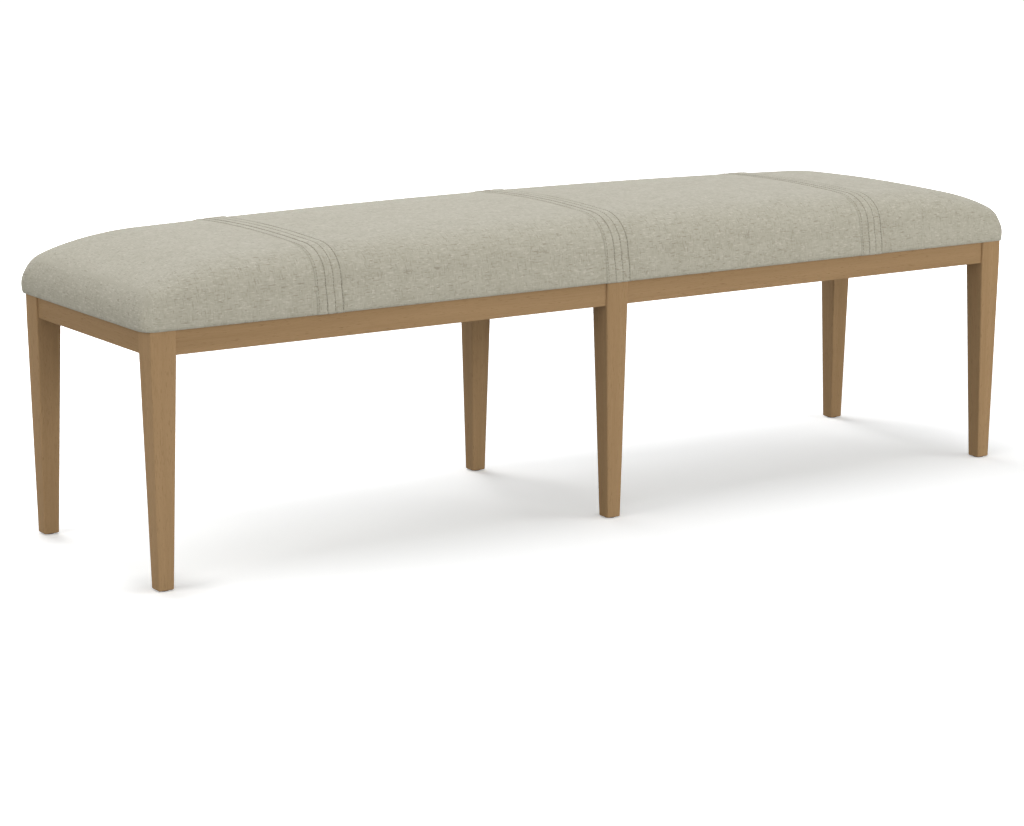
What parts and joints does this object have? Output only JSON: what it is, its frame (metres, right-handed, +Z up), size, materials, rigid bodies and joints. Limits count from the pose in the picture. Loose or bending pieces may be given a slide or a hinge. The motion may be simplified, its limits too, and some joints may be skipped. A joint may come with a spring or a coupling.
{
  "type": "upholstered dining bench",
  "caption": "Long backless dining bench: padded fabric seat with stitched seam bands on an oak frame of tapered square legs and slim rails.",
  "frame": {"origin": "floor level under the middle of the bench", "axes": "+X along the bench's length, -Y towards its front, +Z up"},
  "size_m": [1.523, 0.4152, 0.4607],
  "materials": {
    "oak": "matte, light brown stain",
    "hidden_hardwood": "bare",
    "plywood": "bare",
    "seat_fabric": "heathered tweed weave",
    "foam": "open-cell foam",
    "fibre": "lofted fibre",
    "dust_cloth": "thin non-woven",
    "zinc_steel": "zinc plated",
    "glide_nylon": "satin"
  },
  "bodies": {
    "root": {"block_screws": "zinc_steel", "corner_block_back_left": "hidden_hardwood", "corner_block_back_right": "hidden_hardwood", "corner_block_front_left": "hidden_hardwood", "corner_block_front_right": "hidden_hardwood", "cover_end_left": "seat_fabric", "cover_end_right": "seat_fabric", "cover_middle_left": "seat_fabric", "cover_middle_right": "seat_fabric", "cover_staples": "zinc_steel", "cross_rail": "hidden_hardwood", "dowels_cross_rail": "hidden_hardwood", "dowels_end_rails": "hidden_hardwood", "dowels_long_rails": "hidden_hardwood", "dust_cover": "dust_cloth", "fibre_wrap": "fibre", "leg_back_left": "oak", "leg_back_middle": "oak", "leg_back_right": "oak", "leg_front_left": "oak", "leg_front_middle": "oak", "leg_front_right": "oak", "leg_glides": "glide_nylon", "rail_back_left": "oak", "rail_back_right": "oak", "rail_end_left": "oak", "rail_end_right": "oak", "rail_front_left": "oak", "rail_front_right": "oak", "seam_band_left": "seat_fabric", "seam_band_middle": "seat_fabric", "seam_band_right": "seat_fabric", "seat_foam": "foam", "seat_panel": "plywood", "seat_screws": "zinc_steel"}
  },
  "joints": []
}
